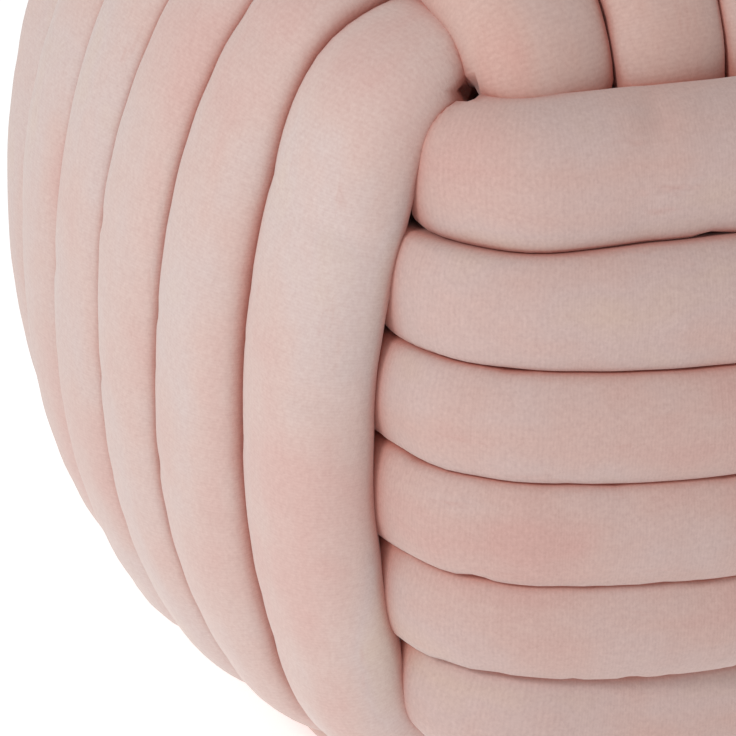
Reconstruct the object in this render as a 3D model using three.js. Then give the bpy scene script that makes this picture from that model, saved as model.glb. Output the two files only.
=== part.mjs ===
// Knot pouf: one long, stuffed velvet tube tied into a ball. Three bands of parallel loops lie
// square to each other round a covered core, and each band passes over one of the others and
// under the third. Millimetres, +Z up, standing at z = 0 with the origin under the ball's middle.
import * as THREE from 'three';

// Driving dimensions: lengths in millimetres, angles in degrees.
const PITCH = 48;              // between neighbouring strands of a band, side by side
const LAYER = 0.68 * PITCH;    // between two crossing strands, which press each other thin
const LOOPS = 6;               // loops in each band
const OVER_RADIUS = 4.8 * PITCH;            // ball's middle to a strand that passes over
const UNDER_RADIUS = OVER_RADIUS - LAYER;   // ball's middle to a strand that passes under
const SQUARENESS = 2.4;        // power of the ball's outline: 2 is round, more is squarer
const DIVE_START = 36;         // angle past the middle of a face where a strand starts to dive
const DIVE_END = 64;           // angle at which it lies under the next band
const SIDESTEP = 27;           // half of the hidden stretch in which a loop moves on by one pitch
const EDGE_SPREAD = 0.12 * PITCH;           // how much further out a band's outer loops lie
const CORNER_LEAD = 22;        // angle past a face's middle where the tube leaves for the next band
const CORNER_REACH = 1.6 * PITCH;           // how far that turn keeps its first direction

const STRAND_WIDTH = 1.0 * PITCH;           // across a strand, corner to corner of its section
const PRESSED_HALF = 0.36 * LAYER;          // from its middle line to a side that another presses
const FREE_HALF = 0.48 * PITCH;             // from its middle line to its free outward side
const COVER_REACH = 1.3 * PITCH;            // a strand this near on the outward side lies over it
const SWELL_RUN = 1.3 * PITCH;              // in which a strand swells to its free thickness
const SECTION_SIDES = 8;
const CORE_CLEARANCE = 5.2;    // core to strands; their straight facets take up most of it
const CORE_SIDES = 20;
const CORE_BELTS = 12;
const SEAT_DEPTH = 8;          // how much of the lowest strands is pressed flat by the floor

// How the path is worked out.
const ANGLE_STEP = 6;          // between the first points of a loop
const CORNER_PARTS = 11;       // points along the turn from one band to the next
const PATH_STEP = 0.25 * PITCH;             // between the points that press each other apart
const PRESS_ROUNDS = 120;
const PRESS_GAIN = 1.6;
const STIFFNESS = 6;           // rounds of evening out, because a stuffed tube bends gently
const PAIR_ROUNDS = 10;        // rounds between two searches for touching strands
const REACH = 1.35 * PITCH;    // strands further apart than this don't touch
const OWN_LENGTH = 1.6 * PITCH;             // a strand doesn't press on this much of itself
const RING_TURN = 19;          // most bend between two sections of the solid
const RING_SPACING = 1.55 * PITCH;          // most distance between two sections of the solid

const X = new THREE.Vector3(1, 0, 0);
const Y = new THREE.Vector3(0, 1, 0);
const Z = new THREE.Vector3(0, 0, 1);
const minus = (v) => v.clone().negate();

// The three bands in the order in which the tube ties them. Angle 0 of a loop points along out,
// angle 90 along next. overAt is an angle at which the band lies on top, and stepAt the hidden
// angle at which a loop moves on to the next pitch. Angles run on from loop to loop.
const LAST_LOOP = 360 * (LOOPS - 1);
const OUTER_LOOP = (LOOPS - 1) / 2;   // number of a band's first loop, counted from its middle
const BANDS = [
  { out: X, next: Y, overAt: 90, stepAt: 0, from: 0, to: LAST_LOOP + 270 + CORNER_LEAD },
  { out: X, next: Z, overAt: 0, stepAt: 270, from: -CORNER_LEAD, to: LAST_LOOP + 180 + CORNER_LEAD },
  { out: minus(Z), next: minus(Y), overAt: 0, stepAt: 270, from: -CORNER_LEAD, to: LAST_LOOP + 270 },
];

function blend(share) {
  const t = THREE.MathUtils.clamp(share, 0, 1);
  return t * t * (3 - 2 * t);
}

// Length of a vector by the ball's own squarish measure.
function squareLength(v) {
  const sum = Math.abs(v.x) ** SQUARENESS + Math.abs(v.y) ** SQUARENESS + Math.abs(v.z) ** SQUARENESS;
  return sum ** (1 / SQUARENESS);
}

// Radius of a loop in its own plane, at an angle and at an offset along the band's axis.
function loopRadius(angle, offset, overAt) {
  const turned = angle - overAt + 90;
  const past = Math.abs(turned - 180 * Math.floor(turned / 180) - 90);
  const dive = blend((past - DIVE_START) / (DIVE_END - DIVE_START));
  const a = THREE.MathUtils.degToRad(angle);
  const spread = Math.abs(Math.cos(a)) ** SQUARENESS + Math.abs(Math.sin(a)) ** SQUARENESS;
  const radiusIn = (shell) => (
    (shell ** SQUARENESS - Math.abs(offset) ** SQUARENESS) / spread) ** (1 / SQUARENESS);
  return THREE.MathUtils.lerp(radiusIn(OVER_RADIUS), radiusIn(UNDER_RADIUS), dive);
}

// Which loop the strand is on at an angle, with the move to the next one eased in and out.
function loopNumber(angle, stepAt) {
  const turns = (angle - stepAt) / 360;
  const whole = Math.floor(turns + 0.5);
  const eased = whole + blend((turns - whole) * 360 / (2 * SIDESTEP) + 0.5);
  return THREE.MathUtils.clamp(stepAt === 0 ? eased - 1 : eased, 0, LOOPS - 1);
}

// A station is a point of the tube's middle line, with the axis of the band that it belongs to.
function bandStations({ out, next, overAt, stepAt, from, to }) {
  const axis = new THREE.Vector3().crossVectors(out, next);
  const stations = [];
  for (let angle = from; angle < to; angle += ANGLE_STEP) {
    const number = OUTER_LOOP - loopNumber(angle, stepAt);
    const spread = Math.sign(number) * THREE.MathUtils.clamp(Math.abs(number) - OUTER_LOOP + 1, 0, 1);
    const offset = PITCH * number + EDGE_SPREAD * spread;
    const radius = loopRadius(angle, offset, overAt);
    const a = THREE.MathUtils.degToRad(angle);
    const point = new THREE.Vector3()
      .addScaledVector(out, radius * Math.cos(a))
      .addScaledVector(next, radius * Math.sin(a))
      .addScaledVector(axis, offset);
    stations.push({ point, axis: axis.clone() });
  }
  return stations;
}

// The bend at a hidden corner of the ball, from the end of one band to the start of the next.
function cornerStations(before, after) {
  const [last2, last] = before.slice(-2);
  const [first, first2] = after;
  const leave = last.point.clone().sub(last2.point).setLength(CORNER_REACH).add(last.point);
  const arrive = first.point.clone().sub(first2.point).setLength(CORNER_REACH).add(first.point);
  const bend = new THREE.CubicBezierCurve3(last.point, leave, arrive, first.point);
  const stations = [];
  for (let i = 1; i < CORNER_PARTS; i += 1) {
    const axis = last.axis.clone().lerp(first.axis, i / CORNER_PARTS).normalize();
    stations.push({ point: bend.getPoint(i / CORNER_PARTS), axis });
  }
  return stations;
}

// The same line with its stations an even step apart.
function evenStations(stations, step) {
  const run = [0];
  for (let i = 1; i < stations.length; i += 1) {
    run.push(run[i - 1] + stations[i].point.distanceTo(stations[i - 1].point));
  }
  const total = run[run.length - 1];
  const count = Math.round(total / step);
  const even = [];
  let i = 0;
  for (let k = 0; k <= count; k += 1) {
    const at = total * k / count;
    while (i < stations.length - 2 && run[i + 1] < at) i += 1;
    const share = (at - run[i]) / (run[i + 1] - run[i]);
    const point = stations[i].point.clone().lerp(stations[i + 1].point, share);
    const axis = stations[i].axis.clone().lerp(stations[i + 1].axis, share).normalize();
    even.push({ point, axis });
  }
  return even;
}

// Direction away from the ball, square to the strand and to its band's axis, at each station.
function outwardDirections(stations) {
  return stations.map(({ axis }, i) => {
    const before = stations[Math.max(i - 1, 0)].point;
    const after = stations[Math.min(i + 1, stations.length - 1)].point;
    return after.clone().sub(before).cross(axis).normalize();
  });
}

// Pairs of stations that are near enough to touch, and not on the same stretch of the tube.
function nearPairs(stations) {
  const skip = Math.round(OWN_LENGTH / PATH_STEP);
  const pairs = [];
  for (let i = 0; i < stations.length; i += 1) {
    for (let j = i + skip + 1; j < stations.length; j += 1) {
      if (stations[i].point.distanceToSquared(stations[j].point) < REACH * REACH) pairs.push([i, j]);
    }
  }
  return pairs;
}

// Evens a list of moves along the tube, so that it never kinks.
function evenOut(moves) {
  const last = moves.length - 1;
  return moves.map((move, i) => move.clone().multiplyScalar(2)
    .add(moves[Math.max(i - 1, 0)])
    .add(moves[Math.min(i + 1, last)])
    .divideScalar(4));
}

// Moves the strands until they lie a pitch apart side by side and a layer apart where they cross.
function pressApart(stations) {
  let pairs = [];
  let outward = [];
  for (let round = 0; round < PRESS_ROUNDS; round += 1) {
    if (round % PAIR_ROUNDS === 0) {
      pairs = nearPairs(stations);
      outward = outwardDirections(stations);
    }
    let moves = stations.map(() => new THREE.Vector3());
    const touches = stations.map(() => 0);
    for (const [i, j] of pairs) {
      // Seen with the outward direction stretched, pressed strands are round and a pitch wide.
      const out = outward[i].clone().add(outward[j]).normalize();
      const apart = stations[j].point.clone().sub(stations[i].point);
      apart.addScaledVector(out, apart.dot(out) * (PITCH / LAYER - 1));
      const overlap = PITCH - apart.length();
      if (overlap > 0) {
        const push = apart.setLength(overlap / 2);
        push.addScaledVector(out, push.dot(out) * (LAYER / PITCH - 1));
        moves[i].sub(push);
        moves[j].add(push);
        touches[i] += 1;
        touches[j] += 1;
      }
    }
    moves.forEach((move, i) => {
      move.divideScalar(Math.max(touches[i], 1));
      const { point } = stations[i];
      const depth = squareLength(point);
      if (depth < UNDER_RADIUS) move.addScaledVector(point, (UNDER_RADIUS / depth - 1) / 2);
    });
    for (let k = 0; k < STIFFNESS; k += 1) moves = evenOut(moves);
    stations.forEach(({ point }, i) => point.addScaledVector(moves[i], PRESS_GAIN));
  }
  return stations;
}

// The whole tube's middle line, tied and pressed.
function tieKnot() {
  const [around, upright, across] = BANDS.map(bandStations);
  const line = [
    ...around,
    ...cornerStations(around, upright),
    ...upright,
    ...cornerStations(upright, across),
    ...across,
  ];
  return pressApart(evenStations(line, PATH_STEP));
}

// How far each station is, along the tube, from the nearest one that another strand lies over.
function uncoveredRuns(stations, outward) {
  const covered = stations.map(() => false);
  for (const [i, j] of nearPairs(stations)) {
    const apart = stations[j].point.clone().sub(stations[i].point);
    if (apart.length() < COVER_REACH) {
      covered[i] ||= apart.dot(outward[i]) > LAYER / 2;
      covered[j] ||= -apart.dot(outward[j]) > LAYER / 2;
    }
  }
  const runs = covered.map((yes) => (yes ? 0 : Infinity));
  for (let i = 1; i < runs.length; i += 1) runs[i] = Math.min(runs[i], runs[i - 1] + PATH_STEP);
  for (let i = runs.length - 2; i >= 0; i -= 1) runs[i] = Math.min(runs[i], runs[i + 1] + PATH_STEP);
  return runs;
}

// Stations for the solid's sections: close together in bends, further apart where it runs on.
function sectionStations(stations) {
  const outward = outwardDirections(stations);
  const runs = uncoveredRuns(stations, outward);
  const last = stations.length - 1;
  const all = stations.map(({ point }, i) => {
    const tangent = stations[Math.min(i + 1, last)].point.clone()
      .sub(stations[Math.max(i - 1, 0)].point).normalize();
    const topHalf = THREE.MathUtils.lerp(PRESSED_HALF, FREE_HALF, blend(runs[i] / SWELL_RUN));
    return { point, tangent, outward: outward[i], topHalf };
  });
  const kept = [all[0]];
  let lastKept = 0;
  for (let i = 1; i < last - 1; i += 1) {
    const turn = THREE.MathUtils.radToDeg(all[i + 1].tangent.angleTo(all[lastKept].tangent));
    const length = (i + 1 - lastKept) * PATH_STEP;
    if (turn > RING_TURN || length > RING_SPACING) {
      kept.push(all[i]);
      lastKept = i;
    }
  }
  kept.push(all[last]);
  return kept;
}

// A route for ExtrudeGeometry. Its sections keep one side towards the ball, and the length of
// each normal is half of the strand's thickness there, because a strand is thin where it is pressed.
class StrandRoute extends THREE.Curve {
  constructor(stations) {
    super();
    this.stations = stations;
  }

  getPoint(t) {
    const { point, outward, topHalf } = this.stations[Math.round(t * (this.stations.length - 1))];
    return point.clone().addScaledVector(outward, (topHalf - PRESSED_HALF) / 2);
  }

  getSpacedPoints(divisions) {
    return this.stations.map((station, i) => this.getPoint(i / divisions));
  }

  computeFrenetFrames() {
    const tangents = this.stations.map(({ tangent }) => tangent.clone());
    const binormals = this.stations.map(({ tangent, outward }) => (
      tangent.clone().cross(outward).normalize()));
    const normals = this.stations.map(({ outward, topHalf }) => (
      outward.clone().multiplyScalar((topHalf + PRESSED_HALF) / 2)));
    return { tangents, normals, binormals };
  }
}

// Section of a strand: x points outward and is 1 at its top, y runs across the strand.
function strandSection() {
  const corners = [];
  const flat = Math.cos(Math.PI / SECTION_SIDES);
  for (let i = 0; i < SECTION_SIDES; i += 1) {
    const a = 2 * Math.PI * (i + 0.5) / SECTION_SIDES;
    corners.push(new THREE.Vector2(Math.cos(a) / flat, STRAND_WIDTH / 2 * Math.sin(a)));
  }
  return new THREE.Shape(corners);
}

function knottedTube(stations) {
  const route = new StrandRoute(sectionStations(stations));
  const steps = route.stations.length - 1;
  return new THREE.ExtrudeGeometry(strandSection(), { steps, extrudePath: route, bevelEnabled: false });
}

// Everything below a height is pressed up to it.
function flattenUnderside(geometry, height) {
  const position = geometry.getAttribute('position');
  for (let i = 0; i < position.count; i += 1) {
    if (position.getZ(i) < height) position.setZ(i, height);
  }
}

// The core fills the space inside the strands, with the same squarish outline as the ball.
function coreBall() {
  const radius = UNDER_RADIUS - PRESSED_HALF - CORE_CLEARANCE;
  const geometry = new THREE.SphereGeometry(1, CORE_SIDES, CORE_BELTS);
  const position = geometry.getAttribute('position');
  const point = new THREE.Vector3();
  for (let i = 0; i < position.count; i += 1) {
    point.fromBufferAttribute(position, i);
    point.multiplyScalar(radius / squareLength(point));
    position.setXYZ(i, point.x, point.y, point.z);
  }
  return geometry;
}

const velvet = new THREE.MeshStandardMaterial({ color: 0xd8b2a6, roughness: 0.85, metalness: 0 });
const darkCloth = new THREE.MeshStandardMaterial({ color: 0x1c1214, roughness: 0.9, metalness: 0 });

const tubeGeometry = knottedTube(tieKnot());
tubeGeometry.computeBoundingBox();
flattenUnderside(tubeGeometry, tubeGeometry.boundingBox.min.z + SEAT_DEPTH);
tubeGeometry.computeBoundingBox();
tubeGeometry.computeVertexNormals();

const tube = new THREE.Mesh(tubeGeometry, velvet);
tube.name = 'knotted_tube';
const core = new THREE.Mesh(coreBall(), darkCloth);
core.name = 'core';

// The origin is under the middle of the ball, on the surface that it stands on.
const middle = tubeGeometry.boundingBox.getCenter(new THREE.Vector3());
const pouf = new THREE.Group();
pouf.add(tube, core);
pouf.position.set(-middle.x, -middle.y, -tubeGeometry.boundingBox.min.z);

export default pouf;
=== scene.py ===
"""Knot pouf of stuffed velvet tube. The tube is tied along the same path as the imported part, then
its skin swells round that path until it meets the neighbouring strands, the core and the floor."""

import math

import bmesh
import bpy
import numpy as np
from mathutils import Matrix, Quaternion, Vector

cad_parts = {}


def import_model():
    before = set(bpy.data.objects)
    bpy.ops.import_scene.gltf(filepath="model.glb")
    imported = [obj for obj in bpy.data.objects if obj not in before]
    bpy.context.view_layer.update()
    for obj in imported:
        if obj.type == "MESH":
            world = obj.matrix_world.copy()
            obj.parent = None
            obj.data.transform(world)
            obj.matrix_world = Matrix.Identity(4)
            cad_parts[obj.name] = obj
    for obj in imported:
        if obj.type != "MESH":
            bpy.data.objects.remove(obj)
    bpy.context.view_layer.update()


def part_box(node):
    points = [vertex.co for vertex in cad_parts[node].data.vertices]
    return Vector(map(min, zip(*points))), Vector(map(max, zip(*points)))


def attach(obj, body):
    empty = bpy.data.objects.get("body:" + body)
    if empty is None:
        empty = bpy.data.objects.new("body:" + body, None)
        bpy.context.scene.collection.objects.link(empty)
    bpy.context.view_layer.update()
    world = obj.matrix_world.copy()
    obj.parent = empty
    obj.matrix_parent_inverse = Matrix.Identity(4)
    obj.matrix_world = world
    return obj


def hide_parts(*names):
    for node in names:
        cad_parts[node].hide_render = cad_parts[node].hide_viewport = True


# The tied path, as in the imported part. Lengths in metres, angles in degrees.
PITCH = 0.048                       # between neighbouring strands of a band, side by side
LAYER = 0.68 * PITCH                # between two crossing strands
LOOPS = 6                           # loops in each band
OVER_RADIUS = 4.8 * PITCH           # ball's middle to a strand that passes over
UNDER_RADIUS = OVER_RADIUS - LAYER  # ball's middle to a strand that passes under
SQUARENESS = 2.4                    # power of the ball's outline: 2 is round, more is squarer
DIVE_START = 36                     # angle past the middle of a face where a strand starts to dive
DIVE_END = 64                       # angle at which it lies under the next band
SIDESTEP = 27                       # half of the hidden stretch where a loop moves on by one pitch
CORNER_LEAD = 22                    # past a face's middle, where the tube leaves for the next band
CORNER_REACH = 1.6 * PITCH          # how far that turn keeps its first direction
CORNER_PARTS = 11                   # steps in that turn
EDGE_SPREAD = 0.12 * PITCH          # how much further out a band's outer loops lie, pressed less
LAST_LOOP = 360 * (LOOPS - 1)       # angle at which a band's last loop starts

# How the path is worked out.
ANGLE_STEP = 6
PATH_STEP = 0.25 * PITCH            # between two stations of the path
PRESS_ROUNDS = 120
PRESS_GAIN = 1.6                    # share of a worked-out move that is made in a round
STIFFNESS = 6                       # rounds of evening out, because a stuffed tube bends gently
PAIR_ROUNDS = 10                    # rounds between two searches for touching strands
REACH = 1.35 * PITCH                # strands further apart than this don't press each other
OWN_LENGTH = 1.6 * PITCH            # a strand doesn't press on this much of itself

# The skin.
FREE_RADIUS = 0.68 * PITCH          # height of a strand over its middle line, where it lies free
FREE_SIDE = 0.76 * PITCH            # half of its width there
ROUNDING = 0.06 * PITCH             # how widely a free side turns into a pressed one
UPPER_POWER = 0.25 * PITCH ** 2     # how much stiffer a strand is than one that it lies on
UPPER_LEAN = 0.5                    # the slope between two strands at which that tells in full
LEAST_ROOM = 0.14 * PITCH           # from a strand's middle line to another, however hard it presses
CROSSING = 0.35                     # share of its direction with which a strand starts to cross another
COVER_SIDE = 0.42 * PITCH           # half of the width over which a crossing strand presses another
PRESSED_TOP = 0.56 * PITCH          # height of a strand right beside one that crosses over it
SWELL_RUN = 0.9 * PITCH             # in which it swells from there to its free size
SECTION_POWER = 2.3                 # of a strand's section: 2 is an ellipse, more is squarer
SKIN_GAP = 0.0001                   # between the skins of two strands that touch, and over the floor
CORNER_GAP = 0.10 * PITCH           # from the line through a corner of the ball to the skins round it
RING_STEP = 0.0044                  # between two rings of the skin, along the strand
RING_SIDES = 48                     # points round a ring
TOP_FINENESS = 0.5                  # share by which they lie closer over a strand's top
EVEN_ROUNDS = 2                     # of evening out where strands press each other
BLOCK = 500                         # stations or rings worked out together
UNEVENNESS = 0.025                  # share by which the stuffing swells a strand more or less
UNEVEN_LENGTHS = (0.41, 0.26, 0.15)
WAVE_SHIFT = 1.7                    # between waves of different lengths, so that they don't coincide
PINCH_DEPTH = 0.0055                # of a pucker
PINCH_ANGLE = 60                    # from the top of a strand to where the cloth puckers most
PINCH_WIDTH = 22                    # how far round from there they fade
PINCH_LENGTHS = (0.023, 0.037, 0.061)
PINCH_STRETCHES = (0.29, 0.47)      # puckers come and go over these lengths
END_LENGTH = 0.5 * PITCH            # in which a hidden end of the tube closes
CLOSED = 0.003                      # square of the share of its width that is left at the very end

# The camera, at the angle of the photograph.
AZIMUTH = -31.0
ELEVATION = 24.9
DISTANCE = 46.7 * PITCH
LENS_MM = 230.9
AIM_LEFT = 2.15 * PITCH             # the middle of the picture, from the ball's middle
AIM_DOWN = 1.56 * PITCH
ROLL = 1.1                          # of the camera; the ball doesn't lie quite level

# Colours of the velvet's pile, as linear values, with its painted sheen and painted crease shade.
PILE_PINK = (0.592, 0.396, 0.356)
PILE_MIDDLE = (0.595, 0.438, 0.396)
PILE_GREY = (0.585, 0.462, 0.432)
PILE_CREAM = (0.600, 0.470, 0.410)
PILE_RUBBED = (0.540, 0.320, 0.280)
PILE_PAINTED_SHEEN = (0.640, 0.545, 0.505)  # painted sheen: paler, greyer colour where the pile is seen from its side
PILE_PAINTED_CREASE_SHADE = (0.520, 0.170, 0.120)     # painted shade, dark red-brown, in the creases between strands
CREASE_SHADE_REACH = 0.015                # how near another strand has to be for that painted crease shade

# The light.
STUDIO_LIGHT = 0.57
KEY_TURN = 36                       # from the camera, to its left
KEY_ELEVATION = 36
KEY_DISTANCE = 2.4
KEY_SIZE = 0.45
KEY_WATTS = 21
KEY_COLOUR = (1.0, 0.985, 0.97)
FLOOR_GLOW = 0.42                   # keeps the floor white where the ball shades it
FLOOR_REACH = 30.0                  # from its middle to its edge

X, Y, Z = np.eye(3)
# The bands in the order in which the tube ties them. Angle 0 of a loop points along out, angle 90
# along next. over_at is an angle at which the band lies on top, and step_at the hidden angle at
# which a loop moves on to the next pitch. Angles run on from loop to loop.
# Each band's own colour factor is painted light and shade: paler for the upright band, which faces the
# key light, and darker, pinker for the others.
BANDS = (
    dict(name="strands_around", out=X, next=Y, over_at=90, step_at=0, first=0,
         last=LAST_LOOP + 270 + CORNER_LEAD, painted_light_tint=(0.88, 0.840, 0.845)),
    dict(name="strands_upright", out=X, next=Z, over_at=0, step_at=270, first=-CORNER_LEAD,
         last=LAST_LOOP + 180 + CORNER_LEAD, painted_light_tint=(0.98, 1.01, 1.03)),
    dict(name="strands_across", out=-Z, next=-Y, over_at=0, step_at=270, first=-CORNER_LEAD,
         last=LAST_LOOP + 270, painted_light_tint=(0.93, 0.855, 0.835)),
)


def unit(vectors):
    return vectors / np.linalg.norm(vectors, axis=-1, keepdims=True)


def dot(a, b):
    return (a * b).sum(axis=-1)


def blend(share):
    """Eases a share that runs from 0 to 1."""
    t = np.clip(share, 0, 1)
    return t * t * (3 - 2 * t)


def square_length(points):
    """Length of vectors by the ball's own squarish measure."""
    return (np.abs(points) ** SQUARENESS).sum(axis=-1) ** (1 / SQUARENESS)


def loop_radius(angle, offset, over_at):
    """Radius of a loop in its own plane, at an angle and at an offset along the band's axis."""
    past = np.abs((angle - over_at + 90) % 180 - 90)
    dive = blend((past - DIVE_START) / (DIVE_END - DIVE_START))
    a = np.radians(angle)
    spread = np.abs(np.cos(a)) ** SQUARENESS + np.abs(np.sin(a)) ** SQUARENESS
    over, under = (
        ((shell ** SQUARENESS - np.abs(offset) ** SQUARENESS) / spread) ** (1 / SQUARENESS)
        for shell in (OVER_RADIUS, UNDER_RADIUS))
    return over + (under - over) * dive


def loop_number(angle, step_at):
    """Which loop the strand is on at an angle, with the move to the next one eased. A band whose
    step is at angle 0 starts in the middle of one."""
    turns = (angle - step_at) / 360
    whole = np.floor(turns + 0.5)
    eased = whole + blend((turns - whole) * 360 / (2 * SIDESTEP) + 0.5)
    return np.clip(eased - 1 if step_at == 0 else eased, 0, LOOPS - 1)


def band_stations(band):
    """The middle line of a band's loops, and the band's axis at each of its stations."""
    axis = np.cross(band["out"], band["next"])
    angle = np.arange(band["first"], band["last"], ANGLE_STEP, dtype=float)
    outer = (LOOPS - 1) / 2
    place = outer - loop_number(angle, band["step_at"])
    spread = np.sign(place) * np.clip(np.abs(place) - outer + 1, 0, 1)
    offset = PITCH * place + EDGE_SPREAD * spread
    radius = loop_radius(angle, offset, band["over_at"])
    a = np.radians(angle)
    points = (np.outer(radius * np.cos(a), band["out"])
              + np.outer(radius * np.sin(a), band["next"])
              + np.outer(offset, axis))
    return points, np.tile(axis, (len(points), 1))


def corner_stations(before, after):
    """The bend at a hidden corner of the ball, from the end of one band to the start of the next."""
    (points, axes), (next_points, next_axes) = before, after
    t = (np.arange(1, CORNER_PARTS) / CORNER_PARTS)[:, None]
    last, first = points[-1], next_points[0]
    leave = last + CORNER_REACH * unit(last - points[-2])
    arrive = first - CORNER_REACH * unit(next_points[1] - first)
    bend = ((1 - t) ** 3 * last + 3 * (1 - t) ** 2 * t * leave
            + 3 * (1 - t) * t ** 2 * arrive + t ** 3 * first)
    return bend, unit(axes[-1] * (1 - t) + next_axes[0] * t)


def even_stations(points, axes, owners, step):
    """The same line with its stations an even step apart."""
    run = np.concatenate([[0], np.cumsum(np.linalg.norm(np.diff(points, axis=0), axis=1))])
    at = np.linspace(0, run[-1], int(round(run[-1] / step)) + 1)
    even = [np.stack([np.interp(at, run, column) for column in table.T], axis=1)
            for table in (points, axes, owners[:, None])]
    return even[0], unit(even[1]), even[2][:, 0]


def outward_directions(points, axes):
    """Direction away from the ball, square to the strand and to its band's axis."""
    return unit(np.cross(np.gradient(points, axis=0), axes))


def near_pairs(points, others, reach):
    """Index pairs of points and others that are nearer than reach, sorted by point."""
    found = []
    for start in range(0, len(points), BLOCK):
        part = points[start:start + BLOCK]
        square = ((part[:, None, :] - others[None, :, :]) ** 2).sum(axis=2)
        i, j = np.nonzero(square < reach * reach)
        found.append(np.stack([i + start, j], axis=1))
    return np.concatenate(found)


def even_out(values, rounds):
    """Evens values along the tube, so that they never jump."""
    for _ in range(rounds):
        padded = np.concatenate([values[:1], values, values[-1:]])
        values = (padded[:-2] + 2 * padded[1:-1] + padded[2:]) / 4
    return values


def press_apart(points, axes):
    """Moves the strands until they lie a pitch apart side by side and a layer apart where they
    cross."""
    skip = round(OWN_LENGTH / PATH_STEP)
    for turn in range(PRESS_ROUNDS):
        if turn % PAIR_ROUNDS == 0:
            pairs = near_pairs(points, points, REACH)
            i, j = pairs[pairs[:, 1] - pairs[:, 0] > skip].T
            outward = outward_directions(points, axes)
            out = unit(outward[i] + outward[j])
        # Seen with the outward direction stretched, pressed strands are round and a pitch wide.
        apart = points[j] - points[i]
        apart = apart + out * (dot(apart, out) * (PITCH / LAYER - 1))[:, None]
        length = np.linalg.norm(apart, axis=1)
        overlap = np.maximum(PITCH - length, 0)
        push = apart * (overlap / 2 / length)[:, None]
        push = push + out * (dot(push, out) * (LAYER / PITCH - 1))[:, None]
        moves = np.zeros_like(points)
        np.add.at(moves, i, -push)
        np.add.at(moves, j, push)
        touches = np.zeros(len(points))
        np.add.at(touches, i[overlap > 0], 1)
        np.add.at(touches, j[overlap > 0], 1)
        moves /= np.maximum(touches, 1)[:, None]
        lift = np.maximum(UNDER_RADIUS / square_length(points) - 1, 0) / 2
        moves += points * lift[:, None]
        points = points + PRESS_GAIN * even_out(moves, STIFFNESS)
    return points


def tie_knot():
    """The tube's middle line, with each station's band axis and the band that it belongs to. A
    corner is shared between the bands that it joins."""
    bands = [band_stations(band) for band in BANDS]
    parts, owners = [], []
    for number, band in enumerate(bands):
        parts.append(band)
        owners.append(np.full(len(band[0]), float(number)))
        if number + 1 < len(bands):
            corner = corner_stations(band, bands[number + 1])
            parts.append(corner)
            owners.append(number + np.arange(1, CORNER_PARTS) / CORNER_PARTS)
    points, axes = (np.concatenate(column) for column in zip(*parts))
    points, axes, owners = even_stations(points, axes, np.concatenate(owners), PATH_STEP)
    return press_apart(points, axes), axes, owners


def finer(values, at):
    """Values between stations, by a Catmull-Rom spline; at counts in stations."""
    i = np.clip(np.floor(at).astype(int), 0, len(values) - 2)
    t = (at - i).reshape((-1,) + (1,) * (values.ndim - 1))
    before, a, b, after = (values[np.clip(i + k, 0, len(values) - 1)] for k in (-1, 0, 1, 2))
    return 0.5 * (2 * a + (b - before) * t + (2 * before - 5 * a + 4 * b - after) * t ** 2
                  + (3 * a - before - 3 * b + after) * t ** 3)


def soft_min(a, b, rounding):
    """The smaller of two values, with a smooth turn from one to the other."""
    h = np.maximum(rounding - np.abs(a - b), 0) / rounding
    return np.minimum(a, b) - h * h * rounding / 4


def waves(run, turn, lengths):
    """Smooth uneven values from -1 to 1: run is metres along the strand, turn the angle round it."""
    parts = [np.sin(2 * math.pi * run / length + (k + 1) * turn + WAVE_SHIFT * k)
             for k, length in enumerate(lengths)]
    return sum(parts) / len(parts)


def neighbours(points, along, side, start):
    """Pairs of a station, of the block from start on, and a station of another stretch near it, with
    the way between them and a share: 0 where they run side by side, 1 where one crosses the other."""
    i, j = near_pairs(points[start:start + BLOCK], points, 2 * FREE_SIDE).T
    i = i + start
    elsewhere = np.abs(i - j) > OWN_LENGTH / RING_STEP
    i, j = i[elsewhere], j[elsewhere]
    share = np.abs(dot(along[j], side[i]))
    return i, j, points[j] - points[i], blend((share - CROSSING) / (1 - CROSSING) * 2)


def side_limits(points, along, side, rays):
    """How far each ray runs before it meets a strand beside it. The one further out is stiffer and
    takes more of the room between them."""
    limit = np.full(rays.shape[:2], FREE_SIDE + ROUNDING)
    depth = square_length(points)
    for start in range(0, len(points), BLOCK):
        i, j, apart, crosses = neighbours(points, along, side, start)
        length = np.linalg.norm(apart, axis=1)
        above = np.clip((depth[i] - depth[j]) / length / UPPER_LEAN, -1, 1)
        room = (length ** 2 + UPPER_POWER * above - SKIN_GAP * length) / 2
        room = np.maximum(room, LEAST_ROOM * length) * (1 + 2 * crosses)
        room = np.where(crosses > 0.99, 2 * FREE_SIDE ** 2, room)
        toward = np.maximum(np.einsum("pc,prc->pr", apart, rays[i]), 1e-9)
        rows, first = np.unique(i, return_index=True)
        nearest = np.minimum.reduceat(room[:, None] / toward, first, axis=0)
        limit[rows] = np.minimum(limit[rows], nearest)
    return limit


def ceiling(points, along, side, outward):
    """Height over each station's middle line at which a strand that crosses over it lies. A strand
    on top keeps its own rounded underside, and what lies under it gives way."""
    height = np.full(len(points), 2 * FREE_SIDE)
    for start in range(0, len(points), BLOCK):
        i, j, apart, crosses = neighbours(points, along, side, start)
        up = dot(apart, outward[i])
        across = np.abs(dot(apart, along[i])) / COVER_SIDE
        central = np.abs(dot(apart, side[i])) < PITCH / 2
        chosen = (crosses > 0.01) & central & (across < 1) & (up > LAYER / 4)
        underside = LAYER / 2 * np.sqrt(1 - across[chosen] ** 2)
        spare = (1 - crosses[chosen]) * FREE_RADIUS
        np.minimum.at(height, i[chosen], up[chosen] - underside + spare)
    return np.maximum(height - SKIN_GAP, LEAST_ROOM)


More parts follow.
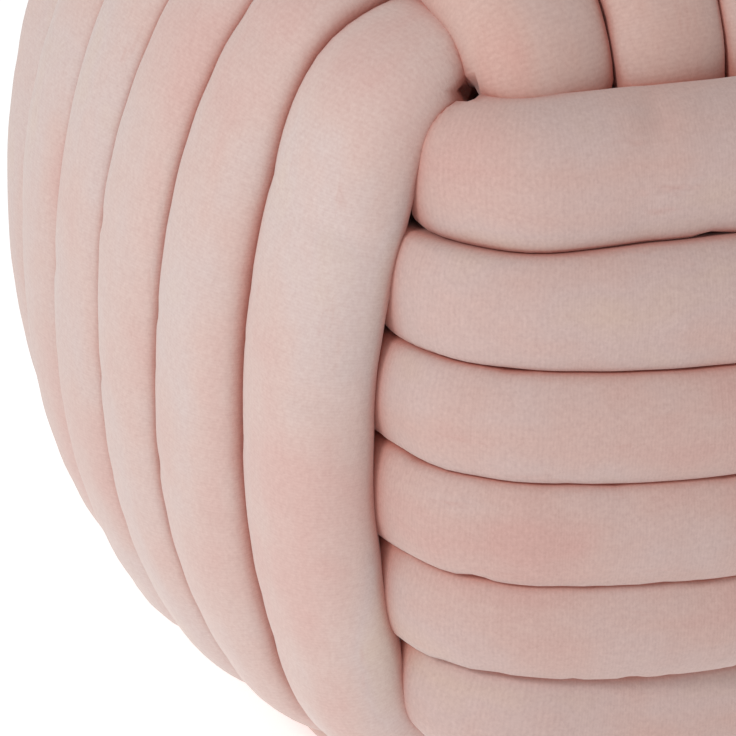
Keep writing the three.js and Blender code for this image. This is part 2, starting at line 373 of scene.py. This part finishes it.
def swollen(top):
    """How far each station has swollen to its free size: 0 at a crossing, 1 a little way off."""
    run = np.where(top < FREE_RADIUS, 0, np.inf)
    for _ in range(2):
        for k in range(1, len(run)):
            run[k] = min(run[k], run[k - 1] + RING_STEP)
        run = run[::-1]
    return blend(run / SWELL_RUN)[:, None]


def plane_limit(depth, toward):
    """How far rays run to a plane that lies at a depth; toward is each ray's share straight at it."""
    return np.where(toward > 1e-3, depth[:, None] / np.maximum(toward, 1e-3), 2 * FREE_SIDE)


def pinches(run, angle):
    """Depth of the small kinks and puckers that cloth makes where two strands press together."""
    beside = np.exp(-((np.degrees(np.abs(angle)) - PINCH_ANGLE) / PINCH_WIDTH) ** 2)
    strong = blend(1.2 * waves(run, 0 * angle, PINCH_STRETCHES) + 0.4)
    folds = np.maximum(waves(run, 0.7 * np.sin(angle), PINCH_LENGTHS) - 0.25, 0)
    return PINCH_DEPTH * beside * strong * folds


def swell(points, rays, angle, outward, along, side, floor):
    """Length of each ray from the strand's middle line to its skin."""
    run = RING_STEP * np.arange(len(points))[:, None]
    beside = side_limits(points, along, side, rays)
    top = ceiling(points, along, side, outward)
    over = plane_limit(top, np.broadcast_to(np.cos(angle), beside.shape))
    core = UNDER_RADIUS - LAYER / 2
    inward = -unit(np.sign(points) * np.abs(points) ** (SQUARENESS - 1))
    core_limit = plane_limit(np.maximum(square_length(points) - core, LEAST_ROOM),
                             np.einsum("ic,irc->ir", inward, rays))
    floor_limit = plane_limit(points[:, 2] - floor, -rays[:, :, 2])
    pressed = even_out(np.minimum.reduce([beside, over, core_limit]), EVEN_ROUNDS)
    free_top = PRESSED_TOP + (FREE_RADIUS - PRESSED_TOP) * swollen(top)
    half_height = np.where(np.cos(angle) > 0, free_top, LAYER / 2)
    free = (np.abs(np.cos(angle) / half_height) ** SECTION_POWER
            + np.abs(np.sin(angle) / FREE_SIDE) ** SECTION_POWER) ** (-1 / SECTION_POWER)
    free = free * (1 + UNEVENNESS * waves(run, angle, UNEVEN_LENGTHS))
    shape = soft_min(free, pressed, ROUNDING) - pinches(run, angle)
    return soft_min(shape, floor_limit, ROUNDING)


def open_corners(points, rays, length):
    """Draws the skin back from the line through each corner of the ball, where three strands meet
    and leave a small dark gap."""
    skin = points[:, None, :] + rays * length[:, :, None]
    corner = np.sign(skin) / math.sqrt(3)
    beside = np.linalg.norm(skin - corner * (skin * corner).sum(axis=2, keepdims=True), axis=2)
    return length - np.minimum(2 * np.maximum(CORNER_GAP - beside, 0), length / 3)


def ring_angles():
    """Angles round a strand, from its underside right round, closer together over its top."""
    even = math.pi * (2 * np.arange(RING_SIDES + 1) / RING_SIDES - 1)
    return even - TOP_FINENESS * np.sin(even)


def tube_skin(points, axes, floor):
    """Rings of the skin, each a list of points round the strand."""
    outward = outward_directions(points, axes)
    along = unit(np.gradient(points, axis=0))
    side = np.cross(along, outward)
    angle = ring_angles()[:-1]
    rays = (outward[:, None, :] * np.cos(angle)[None, :, None]
            + side[:, None, :] * np.sin(angle)[None, :, None])
    length = swell(points, rays, angle, outward, along, side, floor)
    length = open_corners(points, rays, length)
    ring = np.arange(len(points))
    run = np.minimum(ring, ring[::-1]) * RING_STEP / END_LENGTH
    closing = np.sqrt(np.clip(1 - (1 - np.minimum(run, 1)) ** 2, CLOSED, 1))
    return points[:, None, :] + rays * (length * closing[:, None])[:, :, None]


def closed_tube(name, rings, first_ring):
    """A mesh of rings, closed at both ends. Its UV map holds metres along and round the strand."""
    count = len(rings)
    vertices = np.concatenate([rings.reshape(-1, 3), [rings[0].mean(axis=0)],
                               [rings[-1].mean(axis=0)]])
    ring, side = np.meshgrid(np.arange(count - 1), np.arange(RING_SIDES), indexing="ij")
    ring, side = ring.ravel(), side.ravel()
    turn = (side + 1) % RING_SIDES
    quads = np.stack([ring * RING_SIDES + side, ring * RING_SIDES + turn,
                      (ring + 1) * RING_SIDES + turn, (ring + 1) * RING_SIDES + side], axis=1)
    start, end = count * RING_SIDES, count * RING_SIDES + 1
    sides = np.arange(RING_SIDES)
    turns = (sides + 1) % RING_SIDES
    last = (count - 1) * RING_SIDES
    caps = np.concatenate([
        np.stack([turns, sides, np.full(RING_SIDES, start)], axis=1),
        np.stack([last + sides, last + turns, np.full(RING_SIDES, end)], axis=1)])
    mesh = bpy.data.meshes.new(name)
    mesh.from_pydata(vertices.tolist(), [], quads.tolist() + caps.tolist())
    mesh.update()
    mesh.polygons.foreach_set("use_smooth", np.ones(len(mesh.polygons), dtype=bool))
    around = FREE_RADIUS * ring_angles()
    u = np.stack([around[side], around[side + 1], around[side + 1], around[side]], axis=1)
    v = (np.stack([ring, ring, ring + 1, ring + 1], axis=1) + first_ring) * RING_STEP
    uv = np.zeros((len(mesh.loops), 2))
    uv[:quads.size] = np.stack([u.ravel(), v.ravel()], axis=1)
    mesh.uv_layers.new(name="strand").data.foreach_set("uv", uv.ravel())
    return mesh


def add_object(name, mesh, material):
    """Puts a mesh into the scene."""
    thing = bpy.data.objects.new(name, mesh)
    bpy.context.scene.collection.objects.link(thing)
    mesh.materials.append(material)
    return thing


def make_strands(middle):
    """The whole tube, as one piece for each band."""
    points, axes, owners = tie_knot()
    total = (len(points) - 1) * PATH_STEP
    at = np.linspace(0, len(points) - 1, int(round(total / RING_STEP)) + 1)
    points, axes, owners = finer(points, at), unit(finer(axes, at)), finer(owners, at)
    rings = tube_skin(points, axes, SKIN_GAP - middle[2]) + middle
    band = np.clip(np.round(owners).astype(int), 0, len(BANDS) - 1)
    for number, facts in enumerate(BANDS):
        own = np.nonzero(band == number)[0]
        first, last = own[0], min(own[-1] + 1, len(rings) - 1)
        mesh = closed_tube(facts["name"], rings[first:last + 1], first)
        material = velvet_material("velvet_" + facts["name"], facts["painted_light_tint"])
        piece = add_object(facts["name"], mesh, material)
        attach(piece, "root")
        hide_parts("knotted_tube")


class Nodes:
    """Adds and links the nodes of one material."""

    def __init__(self, name):
        self.material = bpy.data.materials.new(name)
        self.material.use_nodes = True
        self.tree = self.material.node_tree
        self.shader = self.tree.nodes["Principled BSDF"]

    def add(self, kind, links=None, **settings):
        node = self.tree.nodes.new(kind)
        for key, value in settings.items():
            setattr(node, key, value)
        for socket, value in (links or {}).items():
            self.set(node.inputs[socket], value)
        return node

    def set(self, socket, value):
        if isinstance(value, bpy.types.NodeSocket):
            self.tree.links.new(value, socket)
        else:
            socket.default_value = value

    def math(self, operation, *values):
        return self.add("ShaderNodeMath", dict(enumerate(values)), operation=operation).outputs[0]

    def noise(self, vector, scale, detail=2.0, roughness=0.5):
        links = {"Vector": vector, "Scale": scale, "Detail": detail, "Roughness": roughness}
        return self.add("ShaderNodeTexNoise", links).outputs["Fac"]

    def ramp(self, value, *stops):
        node = self.add("ShaderNodeValToRGB", {"Fac": value})
        elements = node.color_ramp.elements
        while len(elements) < len(stops):
            elements.new(0.5)
        for element, (position, colour) in zip(elements, stops):
            element.position = position
            element.color = (*colour, 1)
        return node.outputs["Color"]

    def mix(self, share, a, b, blend_type="MIX"):
        node = self.add("ShaderNodeMix", data_type="RGBA", blend_type=blend_type)
        for socket, value in ((0, share), (6, a), (7, b)):
            self.set(node.inputs[socket], value)
        return node.outputs[2]


def velvet_material(name, painted_light_tint):
    """Short-pile velvet: patches of pile that lean different ways, faint rubbed marks along the strand,
    fine ribs across it, a painted sheen that makes the colour paler and greyer where the pile is seen
    from its side, and painted dark red-brown shade in the creases between strands. Each band gets its
    own lighter or darker copy of the colour, which is painted light and shade: the pile leans along
    the strand and each band runs its own way, so each meets the light at its own angle."""
    nodes = Nodes(name)
    spot = nodes.add("ShaderNodeTexCoord").outputs["Object"]
    strand = nodes.add("ShaderNodeUVMap", uv_map="strand").outputs["UV"]
    drawn_out = nodes.add("ShaderNodeMapping", {"Vector": strand, "Scale": (30.0, 7.0, 1.0)})
    patches = nodes.math("ADD", nodes.math("MULTIPLY", nodes.noise(spot, 11.0, 3.0, 0.55), 0.6),
                         nodes.math("MULTIPLY", nodes.noise(drawn_out.outputs[0], 1.0, 3.0), 0.4))
    pile = nodes.ramp(patches, (0.37, PILE_PINK), (0.47, PILE_MIDDLE), (0.56, PILE_GREY),
                      (0.66, PILE_CREAM))
    rubs = nodes.noise(drawn_out.outputs[0], 2.6, 5.0, 0.7)
    marks = nodes.ramp(rubs, (0.60, (0, 0, 0)), (0.72, (0.35, 0.35, 0.35)))
    pile = nodes.mix(marks, pile, (*PILE_RUBBED, 1))
    # Painted sheen: the colour turns paler and greyer where the surface is seen from its side.
    edge = nodes.add("ShaderNodeLayerWeight", {"Blend": 0.4}).outputs["Facing"]
    painted_sheen = nodes.math("MULTIPLY", nodes.math("POWER", edge, 2.0), 0.55)
    pile = nodes.mix(painted_sheen, pile, (*PILE_PAINTED_SHEEN, 1))
    # Painted light and shade: each band's own lighter or darker copy of the velvet colour.
    pile = nodes.mix(1.0, pile, (*painted_light_tint, 1), "MULTIPLY")
    # Painted shade: the colour turns dark red-brown where another strand lies close, in the creases.
    crease_shade = nodes.add("ShaderNodeAmbientOcclusion", {"Distance": CREASE_SHADE_REACH}, samples=6)
    pile = nodes.mix(nodes.ramp(crease_shade.outputs["AO"], (0.05, (1, 1, 1)), (0.75, (0, 0, 0))),
                     pile, (*PILE_PAINTED_CREASE_SHADE, 1))
    ribs = nodes.add("ShaderNodeTexWave", {
        "Vector": strand, "Scale": 235.0, "Distortion": 2.5, "Detail": 2.0,
        "Detail Scale": 1.4}, bands_direction="Y").outputs["Fac"]
    pebbles = nodes.noise(spot, 520.0, 3.0, 0.7)
    grain = nodes.math("ADD", nodes.math("MULTIPLY", ribs, 0.08),
                       nodes.math("MULTIPLY", pebbles, 0.9))
    colour = nodes.mix(0.15, pile, nodes.ramp(
        grain, (0.30, (0.25, 0.15, 0.13)), (0.75, (0.85, 0.80, 0.78))), "OVERLAY")
    nodes.set(nodes.shader.inputs["Base Color"], colour)
    nodes.set(nodes.shader.inputs["Roughness"], 0.95)
    nodes.set(nodes.shader.inputs["Specular IOR Level"], 0.1)
    nodes.set(nodes.shader.inputs["Sheen Weight"], 0.25)
    nodes.set(nodes.shader.inputs["Sheen Roughness"], 0.5)
    nodes.set(nodes.shader.inputs["Sheen Tint"], (1.0, 0.93, 0.90, 1))
    bump = nodes.add("ShaderNodeBump", {"Strength": 0.35, "Distance": 0.0006, "Height": grain})
    nodes.set(nodes.shader.inputs["Normal"], bump.outputs["Normal"])
    return nodes.material


def core_material():
    """Near-black, matt, with a fine weave."""
    nodes = Nodes("core_cloth")
    spot = nodes.add("ShaderNodeTexCoord").outputs["Object"]
    weave = nodes.noise(spot, 900.0, 2.0, 0.6)
    nodes.set(nodes.shader.inputs["Base Color"], nodes.ramp(
        weave, (0.3, (0.010, 0.006, 0.006)), (0.7, (0.022, 0.015, 0.015))))
    nodes.set(nodes.shader.inputs["Roughness"], 0.95)
    nodes.set(nodes.shader.inputs["Specular IOR Level"], 0.1)
    bump = nodes.add("ShaderNodeBump", {"Strength": 0.4, "Distance": 0.0005, "Height": weave})
    nodes.set(nodes.shader.inputs["Normal"], bump.outputs["Normal"])
    return nodes.material


def make_core(middle, material):
    """The filled core, near-black, which shows as a dark spot between three strands at each corner."""
    mesh = bpy.data.meshes.new("core_ball")
    shape = bmesh.new()
    bmesh.ops.create_icosphere(shape, subdivisions=5, radius=1.0)
    shape.to_mesh(mesh)
    shape.free()
    points = np.zeros(len(mesh.vertices) * 3)
    mesh.vertices.foreach_get("co", points)
    points = points.reshape(-1, 3)
    radius = UNDER_RADIUS - LAYER / 2 - SKIN_GAP
    points *= (radius / square_length(points))[:, None]
    mesh.vertices.foreach_set("co", (points + middle).ravel())
    mesh.update()
    mesh.polygons.foreach_set("use_smooth", np.ones(len(mesh.polygons), dtype=bool))
    piece = add_object("core_ball", mesh, material)
    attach(piece, "root")
    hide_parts("core")


def make_floor():
    """A plain white floor."""
    nodes = Nodes("floor")
    nodes.set(nodes.shader.inputs["Base Color"], (0.95, 0.95, 0.95, 1))
    nodes.set(nodes.shader.inputs["Roughness"], 0.9)
    nodes.set(nodes.shader.inputs["Specular IOR Level"], 0.0)
    nodes.set(nodes.shader.inputs["Emission Color"], (1, 1, 1, 1))
    nodes.set(nodes.shader.inputs["Emission Strength"], FLOOR_GLOW)
    mesh = bpy.data.meshes.new("floor")
    corners = [(x * FLOOR_REACH, y * FLOOR_REACH, 0) for x, y in ((-1, -1), (1, -1), (1, 1), (-1, 1))]
    mesh.from_pydata(corners, [], [(0, 1, 2, 3)])
    add_object("floor", mesh, nodes.material)


def direction(azimuth, elevation):
    """From the ball to the camera or a lamp. Azimuth 0 is the front, and it runs to the right."""
    a, e = math.radians(azimuth), math.radians(elevation)
    return Vector((math.sin(a) * math.cos(e), -math.cos(a) * math.cos(e), math.sin(e)))


def make_camera(middle):
    """A camera aimed beside the ball's middle, because the picture shows one corner of it."""
    back = direction(AZIMUTH, ELEVATION)
    right = Vector((math.cos(math.radians(AZIMUTH)), math.sin(math.radians(AZIMUTH)), 0))
    up = back.cross(right)
    camera = bpy.data.cameras.new("camera")
    camera.lens = LENS_MM
    camera.sensor_width = 36.0
    camera.clip_end = 100.0
    thing = bpy.data.objects.new("camera", camera)
    bpy.context.scene.collection.objects.link(thing)
    eye = Vector(middle) + back * DISTANCE
    target = Vector(middle) - right * AIM_LEFT - up * AIM_DOWN
    thing.location = eye
    thing.rotation_mode = "QUATERNION"
    roll = Quaternion((0, 0, 1), math.radians(ROLL))
    thing.rotation_quaternion = (target - eye).to_track_quat("-Z", "Y") @ roll
    bpy.context.scene.camera = thing


def make_light(middle):
    """An even white studio, and a soft key light to the left of the camera."""
    world = bpy.data.worlds.new("studio")
    bpy.context.scene.world = world
    world.use_nodes = True
    background = world.node_tree.nodes["Background"]
    background.inputs["Color"].default_value = (1.0, 1.0, 1.0, 1)
    background.inputs["Strength"].default_value = STUDIO_LIGHT
    lamp = bpy.data.lights.new("key", "AREA")
    lamp.size = KEY_SIZE
    lamp.energy = KEY_WATTS
    lamp.color = KEY_COLOUR
    thing = bpy.data.objects.new("key", lamp)
    bpy.context.scene.collection.objects.link(thing)
    back = direction(AZIMUTH - KEY_TURN, KEY_ELEVATION)
    thing.location = Vector(middle) + back * KEY_DISTANCE
    thing.rotation_mode = "QUATERNION"
    thing.rotation_quaternion = (-back).to_track_quat("-Z", "Y")
    bpy.context.scene.view_settings.view_transform = "Standard"


def main():
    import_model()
    low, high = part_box("core")
    middle = np.array([(a + b) / 2 for a, b in zip(low, high)])
    make_camera(middle)
    make_strands(middle)
    make_core(middle, core_material())
    make_floor()
    make_light(middle)


main()
